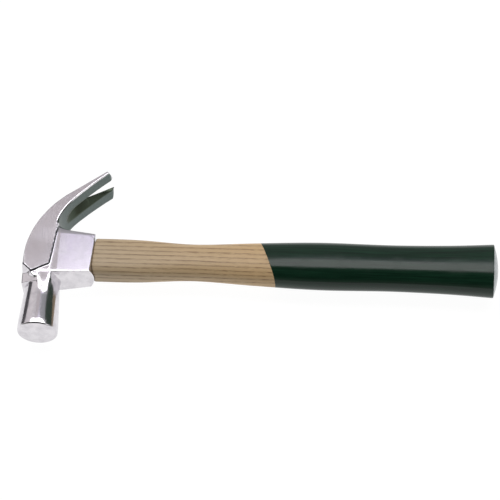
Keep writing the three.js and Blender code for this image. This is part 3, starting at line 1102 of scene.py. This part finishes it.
    def shoulder(self, x: Array, y: Array, across: Array) -> Array:
        """What lies under the cheek's foot: a pad, a round tongue from it into the poll, a facet on its left.

        Args:
            x: Along the handle.
            y: Towards the claw.
            across: From the middle plane.

        Returns:
            Distance, negative inside.
        """
        below = np.maximum(-y - self.tongue_from, 0)
        top = across - self.pad + self.tongue_slope * below + below**2 / (2 * self.tongue_radius)
        middle, half = self.tongue_middle, self.tongue_half
        tongue = np.hypot((x - middle[0]) / half[0], np.minimum(y - middle[1], 0) / half[1]) - 1
        band = np.maximum(self.pad_low - y, x - middle[0] - half[0])
        band = np.maximum(band, self.pad_left - x) * self.rim_lean[0] + top * self.rim_lean[1]
        band = eased_max(eased_max(top, band, self.pad_edge), self.drop(x, y, across), self.drop_edge)
        rim = tongue * half[0] * self.rim_lean[0] + top * self.rim_lean[1]
        swell = np.maximum(1 - ((x - middle[0]) / half[0]) ** 2, 0) * eased_step(*self.tongue_swells, -y)
        edge = self.tongue_edge[0] + self.tongue_edge[1] * eased_step(*self.tongue_widens, x)
        tongue = eased_max(top - self.tongue_swell * swell, rim, edge)
        pad = eased_max(np.minimum(band, tongue), y - self.pad_top, self.pad_top_edge)
        pad = np.maximum(pad, self.pad_inside - across)
        height, lean, rise = self.diamond
        corner = self.diamond_corner
        facet = across - height - lean * (x - corner[0]) - rise * (y - corner[1])
        facet = np.maximum(facet / math.hypot(1, lean, rise), x - corner[0])
        facet = np.maximum(facet, np.abs(y - self.diamond_middle) - self.diamond_half)
        return eased_min(pad, facet, self.diamond_fillet)

    def poll(self, x: Array, y: Array, across: Array) -> Array:
        """The poll: a round that flares from neck to ring, with a chamfered, slightly crowned face.

        Args:
            x: Along the handle.
            y: Towards the claw.
            across: From the middle plane.

        Returns:
            Distance, negative inside.
        """
        rise = (self.face - self.neck) / (self.poll_length - self.ring - self.neck_offset)
        flare = self.neck + rise * np.maximum(-y - self.neck_offset, -self.neck_run)
        ring = self.face - self.ring_taper * np.maximum(-y - self.poll_length + self.ring, 0)
        radius = eased_min(flare, ring, self.ring_fillet)
        off_axis = np.hypot(x, across)
        beyond = -y - self.poll_length
        crown = self.face**2 / (2 * self.face_crown)
        end = np.sqrt(off_axis**2 + (crown + beyond) ** 2) - crown
        rim = (off_axis + beyond - self.face + self.face_chamfer + self.face_crown) / math.sqrt(2)
        side = eased_max(off_axis - radius, rim, self.face_edge)
        return eased_max(eased_max(side, end, self.face_edge), y - self.poll_root, self.poll_root_edge)

    def slot(self, x: Array, y: Array, across: Array) -> Array:
        """The nail slot: wide with a round nose on the hollow side, a vee on the back that becomes a groove.

        Args:
            x: Along the handle.
            y: Towards the claw.
            across: From the middle plane.

        Returns:
            Distance, negative in the slot.
        """
        outside, distance = self.back(x, y)
        depth, thick = -outside, self.thickness(distance)
        nose = np.clip((distance - self.slot_length + self.slot_nose) / self.slot_nose, 0, 1)
        wide = self.slot_half * np.sqrt(1 - nose**2)
        narrow = self.slot_half * (1 - np.maximum(distance, 0) / self.slot_vee)
        run_out = (distance - self.slot_vee) / (self.slot_length - self.slot_vee)
        floor = thick * np.clip(run_out, 0, self.groove_end)
        narrow = np.minimum(np.maximum(narrow, self.slot_least), np.maximum(wide, self.slot_least))
        lean = np.maximum(wide - narrow, 0) / (thick - floor)
        half = narrow + lean * np.minimum(depth - floor, thick - floor + self.slot_overrun)
        half = half - self.groove_lean * np.maximum(floor - depth, 0)
        return np.maximum((across - half) / np.hypot(1, lean), distance - self.slot_length)

    def eye_sizes(self, x: Array) -> tuple[Array, Array]:
        """Half height and half width of the eye, which widens in lines from its waist to both ends.

        Args:
            x: Along the handle.

        Returns:
            Half height and half width.
        """
        knots = [-self.spine - self.eye_overrun, self.eye_waist_x, self.socket_length + self.eye_overrun]
        sizes = zip(self.eye_top, self.eye_waist, self.eye_mouth)
        half_y, half_z = (np.interp(x, knots, halves) for halves in sizes)
        return half_y, half_z

    def eye(self, x: Array, y: Array, across: Array) -> Array:
        """The eye: a rounded rectangle along the handle.

        Args:
            x: Along the handle.
            y: Towards the claw.
            across: From the middle plane.

        Returns:
            Distance, negative in the eye.
        """
        half_y, half_z = self.eye_sizes(x)
        over_y, over_z = np.abs(y) - half_y + self.eye_corner, across - half_z + self.eye_corner
        walls = np.hypot(np.maximum(over_y, 0), np.maximum(over_z, 0)) - self.eye_corner
        return walls + np.minimum(np.maximum(over_y, over_z), 0)

    def depth(self, x: Array, y: Array, z: Array) -> Array:
        """Distance to the whole head, negative inside.

        The foot's steep facet is ground off the cheeks, the shoulder stands against them, the poll joins both
        with a fillet that grows to the right, and back, prongs' ends, slot and eye are cut.

        Args:
            x: Along the handle.
            y: Towards the claw.
            z: Across the cheeks.

        Returns:
            Distances.
        """
        across = np.abs(z)
        cheeks, drop = self.cheeks(x, y, across), self.drop(x, y, across)
        worn = (cheeks + drop) / math.sqrt(2) + self.foot_chamfer
        forging = np.maximum(np.maximum(cheeks, drop), worn)
        forging = np.minimum(forging, self.shoulder(x, y, across))
        least, most = self.poll_fillet
        fillet = least + (most - least) * eased_step(*self.poll_fillet_run, x)
        forging = eased_min(forging, self.poll(x, y, across), fillet)
        forging = eased_max(forging, self.back(x, y)[0], self.spine_edge)
        forging = eased_max(forging, self.ends(x, y, across), self.edge)
        forging = eased_max(forging, -self.slot(x, y, across), self.opening_edge)
        return eased_max(forging, -self.eye(x, y, across), self.opening_edge)

    def build(self, finish: PolishedSteel) -> bpy.types.Object:
        """Skins the head and dresses it.

        Args:
            finish: The steel.

        Returns:
            The piece.
        """
        low = np.array([-self.spine, -self.poll_length, -self.half_width]) - self.margin_low
        high = np.array([*self.tips, self.half_width]) + self.margin_high
        skin = contoured(self.depth, low, high, self.pitch)
        # The foot's line of painted shade goes in with the other point values
        skin.values |= self.unground(skin) | {"edge": self.rubbed(skin), "foot_shade_line": self.painted_foot_shade(skin)}
        piece = skin.object("forged_head", finish.material())
        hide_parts("hammer_head")
        return piece

    def unground(self, skin: Skin) -> dict[str, Array]:
        """Where the forge's skin is left: in the claw's hollow, and on the walls of slot and eye.

        Args:
            skin: The head's skin.

        Returns:
            Shares at its points, for all such places and for the walls alone, where shade is painted.
        """
        x, y, z = skin.points.T
        across = np.abs(z)
        outside, distance = self.back(x, y)
        in_slot = 1 - eased_step(*self.slot_dark, np.abs(self.slot(x, y, across)))
        in_slot = in_slot * (distance < self.claw_length) * eased_step(*self.slot_dark_depth, -outside)
        in_eye = 1 - eased_step(*self.eye_dark, np.abs(self.eye(x, y, across)))
        in_hollow = eased_step(*self.sunk, -self.level(x, y, across))
        in_hollow = in_hollow * eased_step(*self.hollow_dark_depth, -outside)
        in_hollow = in_hollow * eased_step(*self.hollow_dark_from, y)
        on_socket = eased_step(*self.socket_clear_x, x) * (1 - eased_step(*self.socket_clear_y, y))
        # The walls alone carry painted shade over the forge's skin
        walls = np.clip(np.maximum(in_slot, in_eye), 0, 1)
        return {"unground": np.clip(np.maximum(in_hollow * (1 - on_socket), walls), 0, 1), "slot_wall": walls}

    def rubbed(self, skin: Skin) -> Array:
        """How much edges are rubbed and painted with a highlight.

        The field's bending, by how far a point's six neighbours stand outside.

        Args:
            skin: The head's skin.

        Returns:
            Shares at its points.
        """
        offsets = np.concatenate([np.eye(3), -np.eye(3)]) * self.rub_reach
        mean = sum(self.depth(*(skin.points + offset).T) for offset in offsets) / len(offsets)
        # Rubbed edges, lighter also as a painted highlight
        return eased_step(*self.rub, mean / self.rub_reach)

    def painted_foot_shade(self, skin: Skin) -> Array:
        """How much painted shade lies at a point: a line just inside the rim of the cheek's foot.

        Args:
            skin: The head's skin.

        Returns:
            Shares at its points.
        """
        x, y, z = skin.points.T
        on_rim = 1 - eased_step(*self.foot_shade_line, np.abs(self.foot_rim(x, y) + self.foot_shade_inset))
        return on_rim * eased_step(*self.foot_shade_across, np.abs(z)) * (1 - eased_step(*self.foot_shade_top, y))


@dataclass
class Handle:
    """The handle and the film over its grip.

    It has a tenon in the eye, a shaft through stations of height and width, and a domed butt.
    """

    # Shaft
    stations: tuple[float, ...] = (34.3, 62.3, 104.3, 143.3, 185.3, 243.3, 283.3, 306.5)
    heights: tuple[float, ...] = (29.1, 29.6, 26.4, 30.4, 33.8, 33.0, 35.2, 38.0)
    widths: tuple[float, ...] = (19.1, 19.0, 18.4, 21.2, 23.6, 23.4, 24.8, 26.4)
    shoulder_squareness: float = 3.5
    grip_squareness: float = 2.35
    squareness_end: float = 104
    shoulder_runs: tuple[float, ...] = (0.0, 0.25, 0.6, 1.1)
    shoulder_round: float = 0.45
    shaft_run: Pair = (1.8, 114)
    lip_run: float = 7
    around: int = 160
    shaft_rings: int = 150
    covered_rings: int = 90

    # Butt
    rim_at: float = 307.1
    rim_round: float = 0.6
    rim_turn: float = math.radians(76)
    rim_from: float = 0.12
    dome_shares: Pair = (0.97, 0.04)
    butt_end: float = 310.7
    stretch_rings: int = 5
    rim_rings: int = 8
    dome_rings: int = 24

    # Film
    dip_at: float = 153.1
    dip_slope: float = 0.382
    dip_rounds: int = 8
    film: float = 0.4
    film_gap: float = 0.08
    film_lip: float = 0.8
    film_sink: float = 0.02
    film_foot: float = 0.05
    film_run: Pair = (1.2, 150)
    film_lip_rings: int = 9
    stand: float = 0.1
    under_film: float = 0.4
    under_film_step: float = 0.7

    # Tenon
    clearance: float = 0.3
    tenon_squareness: float = 5.0
    tenon_inset: float = 1
    tenon_recess: float = 0.65
    tenon_rings: int = 24
    tenon_ring_gap: float = 0.1
    end_centre: Pair = (57.0, -12.14)  # x and y
    end_radius: float = 71
    end_from: float = 0.03
    end_spread: float = 0.7
    end_corner: Pair = (0.9, 1.0)
    end_round: float = 0.35
    end_rings: int = 20

    def section(self, x: Array, half_y: Array, half_z: Array, power: Array) -> Array:
        """Rings of superellipses: the distance from the axis at an angle is the power mean of the half axes.

        Args:
            x: Place along the handle, by ring or by ring and angle.
            half_y: Half height, in the same layout.
            half_z: Half width, in the same layout.
            power: Squareness, 2 for an ellipse.

        Returns:
            Array of ring, angle, coordinate.
        """
        angle = 2 * np.pi * (np.arange(self.around) + 0.5) / self.around
        cos, sin = np.cos(angle), np.sin(angle)
        reach = (np.abs(cos / half_y) ** power + np.abs(sin / half_z) ** power) ** (-1 / power)
        return np.stack([np.broadcast_to(x, reach.shape), reach * cos, reach * sin], axis=-1)

    def skin_at(self, x: Array, grow: Array | float) -> Array:
        """Points of the shaft's skin, which keeps its last section beyond the last station.

        Args:
            x: Places along the handle, as ring by angle.
            grow: How far outside the skin.

        Returns:
            Array of ring, angle, coordinate.
        """
        knots = np.array(self.stations)
        shaft = np.minimum(x, knots[-1])
        half_y = curve_through(shaft, knots, np.array(self.heights) / 2) + grow
        half_z = curve_through(shaft, knots, np.array(self.widths) / 2) + grow
        share = eased_step(self.stations[0], self.squareness_end, x)
        power = self.shoulder_squareness + (self.grip_squareness - self.shoulder_squareness) * share
        return self.section(x, half_y, half_z, power)

    def dip_edge(self) -> Array:
        """Where the film starts at each angle: the skin meets a plane that leans along the handle's height.

        Returns:
            Places along the handle, as one ring by angle.
        """
        x = np.full((1, self.around), self.dip_at)
        for _ in range(self.dip_rounds):
            x = self.dip_at - self.dip_slope * self.skin_at(x, 0.0)[..., 1]
        return x

    def butt_rings(self, grow: float) -> Array:
        """Rings of the butt: the shaft's last stretch, a small round at the rim and a shallow dome.

        Args:
            grow: How far outside the skin.

        Returns:
            Array of ring, angle, coordinate.
        """
        last, count = self.stations[-1], self.stretch_rings
        stretch = last + (self.rim_at - last) * np.linspace(1 / count, 1, count)[:, None]
        straight = self.skin_at(stretch * np.ones((1, self.around)), grow)
        turn = np.linspace(self.rim_from, 1, self.rim_rings)[:, None] * self.rim_turn
        at_rim = np.full((self.rim_rings, self.around), self.rim_at)
        rim = self.skin_at(at_rim, grow - self.rim_round * (1 - np.cos(turn)))
        rim[..., 0] += (self.rim_round + grow) * np.sin(turn)
        inwards = np.linspace(*self.dome_shares, self.dome_rings)[:, None, None]
        dome = rim[-1:] * np.concatenate([np.ones_like(inwards), inwards, inwards], axis=-1)
        dome[..., 0] += (self.butt_end - self.rim_at - self.rim_round) * (1 - inwards[..., 0] ** 2)
        return np.concatenate([straight, rim, dome])

    def tenon(self, head: HammerHead) -> Array:
        """Rings of the tenon: the eye less its clearance, ending in the wedges' arc, just below their ends.

        Args:
            head: The head that it sits in.

        Returns:
            Rings from the middle of the end grain to the shoulder.
        """
        x = np.linspace(-head.spine + self.tenon_inset, head.socket_length, self.tenon_rings)[:, None]
        half_y, half_z = (half - self.clearance for half in head.eye_sizes(x))
        sides = self.section(x, half_y, half_z, np.full_like(x, self.tenon_squareness))
        inwards = np.linspace(self.end_from, 1, self.end_rings)[:, None, None] ** self.end_spread
        end = sides[:1] * inwards
        above = np.maximum(end[..., 1] - self.end_centre[1], 0)
        end[..., 0] = self.end_centre[0] - np.sqrt(self.end_radius**2 - above**2) + self.tenon_recess
        end[..., 0] += self.end_round * eased_step(*self.end_corner, inwards[..., 0])
        steps = self.tenon_ring_gap * np.arange(self.tenon_rings)[:, None]
        sides[..., 0] = np.maximum(sides[..., 0], end[-1:, :, 0] + steps)
        return np.concatenate([end, sides[1:]])

    def build(self, head: HammerHead, finish: Hickory) -> bpy.types.Object:
        """Makes the wood from end grain to butt, drawn in under the film.

        Args:
            head: The head that the tenon sits in.
            finish: The wood.

        Returns:
            The piece.
        """
        first, last = self.stations[0], self.stations[-1]
        run = np.concatenate([self.shoulder_runs, np.linspace(*self.shaft_run, self.shaft_rings)])
        share = (run / run[-1])[:, None]
        edge = self.dip_edge() + self.under_film
        rounded = np.maximum(1 - run / self.shoulder_runs[-1], 0)[:, None] ** 2
        bare = self.skin_at(first + (edge - first) * share, -self.shoulder_round * rounded)
        lip = head.mouth_lip(bare[:1, :, 1], np.abs(bare[:1, :, 2]))
        bare[..., 0] += lip * np.maximum(1 - run / self.lip_run, 0)[:, None] ** 2
        start = edge + self.under_film_step
        covered_x = start + (last - start) * np.linspace(0, 1, self.covered_rings)[:, None]
        covered = self.skin_at(covered_x, -self.film)
        rings = np.concatenate([self.tenon(head), bare, covered, self.butt_rings(-self.film)])
        piece = closed_rings(rings).object("hickory_handle", finish.material())
        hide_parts("handle")
        return piece

    def build_film(self, finish: DippedLacquer) -> bpy.types.Object:
        """Makes the lacquer film: an outer skin that rises from the wood in a rounded lip, and an inner one.

        Args:
            finish: The lacquer.

        Returns:
            The piece.
        """
        edge = self.dip_edge()
        lip_run = np.linspace(0, self.film_lip, self.film_lip_rings)
        run = np.concatenate([lip_run, np.linspace(*self.film_run, self.shaft_rings)])
        x = edge + (self.stations[-1] - edge) * (run / run[-1])[:, None]
        lip = np.sqrt(np.clip(1 - np.maximum(1 - run / self.film_lip, 0) ** 2, 0, 1))[:, None]
        outer = self.skin_at(x, self.stand * lip - self.film_sink * (1 - lip))
        inside = self.film_gap - self.film
        inner = self.skin_at(x, np.maximum(-self.film_foot - run, inside)[:, None])
        halves = [self.butt_rings(inside)[::-1], inner[::-1], outer, self.butt_rings(self.stand)]
        piece = closed_rings(np.concatenate(halves)).object("grip_film", finish.material())
        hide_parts("grip_lacquer")
        return piece


@dataclass
class Wedges:
    """The wedges that spread the tenon: one of split timber along it and two of strip steel across."""

    timber: str = "timber_wedge"
    steel: tuple[str, ...] = ("steel_wedge_1", "steel_wedge_2")

    def dress(self, nodes: dict[str, bpy.types.Object], wood: Hickory, metal: RolledSteel) -> None:
        """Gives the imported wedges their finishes.

        Args:
            nodes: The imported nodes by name.
            wood: Finish of the timber wedge.
            metal: Finish of the steel wedges.
        """
        strip = metal.material()
        finishes = {self.timber: wood.material()} | {name: strip for name in self.steel}
        for name, material in finishes.items():
            nodes[name].data.materials.clear()
            nodes[name].data.materials.append(material)


# Studio


@dataclass(frozen=True)
class Card:
    """A card that only reflections see, set out by the direction in which the head sees it.

    Azimuth, elevation, width and height are degrees, and the distance is metres.
    """

    name: str
    kind: Lit
    azimuth: float
    elevation: float
    wide: float
    high: float
    colour: str
    strength: float = 1.0
    away: float = 1.4

    def build(self, aim: Triple) -> bpy.types.Object:
        """Makes the card, facing the head.

        Args:
            aim: Point that the card faces, in metres.

        Returns:
            The card.
        """
        turn, lift = math.radians(self.azimuth), math.radians(self.elevation)
        towards = Vector((math.cos(turn) * math.cos(lift), math.sin(turn) * math.cos(lift), math.sin(lift)))
        side = Vector((-math.sin(turn), math.cos(turn), 0))
        up = towards.cross(side)
        half = [self.away * math.tan(math.radians(angle) / 2) for angle in (self.wide, self.high)]
        centre = Vector(aim) + towards * self.away
        signs = ((-1, -1), (1, -1), (1, 1), (-1, 1))
        corners = [centre + side * half[0] * a + up * half[1] * b for a, b in signs]
        mesh = bpy.data.meshes.new(self.name)
        mesh.from_pydata(corners, [], [(0, 1, 2, 3)])
        material = new_material(f"{self.kind.value}_card")
        tree = material.node_tree
        glow = add_node(tree, "ShaderNodeEmission", {"Color": linear(self.colour), "Strength": self.strength})
        fill(tree, tree.nodes["Material Output"], {"Surface": glow.outputs["Emission"]})
        mesh.materials.append(material)
        made = linked(self.name, mesh)
        made.visible_camera = made.visible_diffuse = made.visible_shadow = False
        return made


@dataclass
class Studio:
    """White table, soft overhead light, cards, the room and the camera, with places and sizes in metres."""

    floor_radius: float = 4.0
    floor_drop: float = 0.0004
    floor_sides: int = 64
    floor_base: str = "#474747"
    floor_colour: str = "#ffffff"
    floor_glow: float = 0.97
    floor_roughness: float = 0.9
    light_centre: Triple = (0.0, 0.33, 1.1)
    light_size: Pair = (1.9, 0.54)
    light_power: float = 11.0
    far_left: str = "#e8e3e4"
    far_right: str = "#9a9b9e"
    front_low: str = "#a3a4a0"
    front_high: str = "#262a27"
    rightward: Pair = (-0.55, 0.2)
    upward: Pair = (0.0, 0.55)
    backward: Pair = (-0.1, 0.1)
    head_place: Triple = (-0.146, -0.01, 0.016)
    cards: tuple[Card, ...] = (
        Card("dark_right", Lit.DARK, 43, 17, 46, 40, "#3a463d"),
        Card("dark_left", Lit.DARK, 143, 9, 76, 27, "#4c4c4e", away=0.14),
        Card("pale_cheek", Lit.BRIGHT, 72, 59, 16.8, 8, "#ebe4fa"),
        Card("pale_spine", Lit.BRIGHT, 101, 56, 16, 11, "#c3bcbe", away=0.9),
        Card("pale_foot", Lit.BRIGHT, 99, 62.5, 16, 4, "#ece6f0", away=0.9),
        Card("pale_front", Lit.BRIGHT, -33, 27, 24, 24, "#ffffff", 1.4),
    )
    camera_place: Triple = (0.09788, -0.87445, 1.41763)
    camera_right: Triple = (0.99757, 0.05765, -0.03899)
    camera_up: Triple = (-0.02791, 0.84458, 0.53470)
    camera_back: Triple = (0.06376, -0.53232, 0.84414)
    lens: float = 173.43
    sensor: float = 36.0

    def build(self) -> None:
        """Makes floor, lights, cards, room and camera."""
        self.floor()
        self.lights()
        self.camera()

    def floor(self) -> None:
        """A round white floor, lit from within so that it stays pale."""
        sides = self.floor_sides
        angle = 2 * np.pi * np.arange(sides) / sides
        rim = self.floor_radius * np.stack([np.cos(angle), np.sin(angle), np.zeros(sides)], axis=-1)
        rim[:, 2] = -self.floor_drop
        mesh = bpy.data.meshes.new("floor")
        mesh.from_pydata(rim.tolist(), [], [list(range(sides))])
        material = new_material("white_table")
        table = Graph(material.node_tree)
        table.surface({"Base Color": linear(self.floor_base), "Roughness": self.floor_roughness})
        table.surface({"Emission Color": linear(self.floor_colour), "Emission Strength": self.floor_glow})
        mesh.materials.append(material)
        made = linked("floor", mesh)

    def lights(self) -> None:
        """A wide soft light over the far side, a grey room round it, and cards for the steel to reflect."""
        data = bpy.data.lights.new("overhead", "AREA")
        data.shape = "RECTANGLE"
        data.size, data.size_y = self.light_size
        data.energy = self.light_power
        lamp = linked("overhead", data)
        lamp.location = self.light_centre
        lamp.visible_camera = False
        for card in self.cards:
            card.build(self.head_place)
        bpy.context.scene.world = self.room()
        bpy.context.scene.view_settings.view_transform = "Standard"

    def room(self) -> bpy.types.World:
        """The room round the table: pale on the far left, greyer on the far right, dark overhead in front.

        Returns:
            The world.
        """
        world = bpy.data.worlds.new("room")
        world.use_nodes = True
        nodes = Graph(world.node_tree)
        direction = nodes.place("Generated")
        rightward = nodes.remap(nodes.axis(direction, "X"), self.rightward)
        upward = nodes.remap(nodes.axis(direction, "Z"), self.upward)
        backward = nodes.remap(nodes.axis(direction, "Y"), self.backward)
        far = nodes.mix(rightward, self.far_left, self.far_right)
        front = nodes.mix(upward, self.front_low, self.front_high)
        colour = nodes.mix(backward, front, far)
        fill(nodes.tree, nodes.tree.nodes["Background"], {"Color": colour})
        return world

    def camera(self) -> None:
        """The camera at the photograph's place, turn and focal length."""
        data = bpy.data.cameras.new("camera")
        data.lens = self.lens
        data.sensor_width = self.sensor
        made = linked("camera", data)
        turn = Matrix((self.camera_right, self.camera_up, self.camera_back)).transposed()
        made.matrix_world = Matrix.Translation(self.camera_place) @ turn.to_4x4()
        bpy.context.scene.camera = made


def main() -> None:
    """Builds the hammer in order, then the studio."""
    logging.basicConfig(level=logging.INFO, format="%(name)s: %(message)s")
    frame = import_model()
    head = HammerHead()
    handle = Handle()
    pieces = [
        head.build(PolishedSteel()),
        handle.build(head, Hickory()),
        handle.build_film(DippedLacquer()),
    ]
    beech = Hickory(
        early="#d8bb8e",
        late="#b08a58",
        grey_early="#d2b486",
        grey_late="#a98454",
        ring=1.4,
        name="split_beech",
    )
    Wedges().dress(frame["nodes"], beech, RolledSteel())
    for piece in pieces:
        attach(piece, BODY)
        LOG.info("%s: %d points, %d faces", piece.name, len(piece.data.vertices), len(piece.data.polygons))
    Studio().build()


if __name__ == "__main__":
    main()
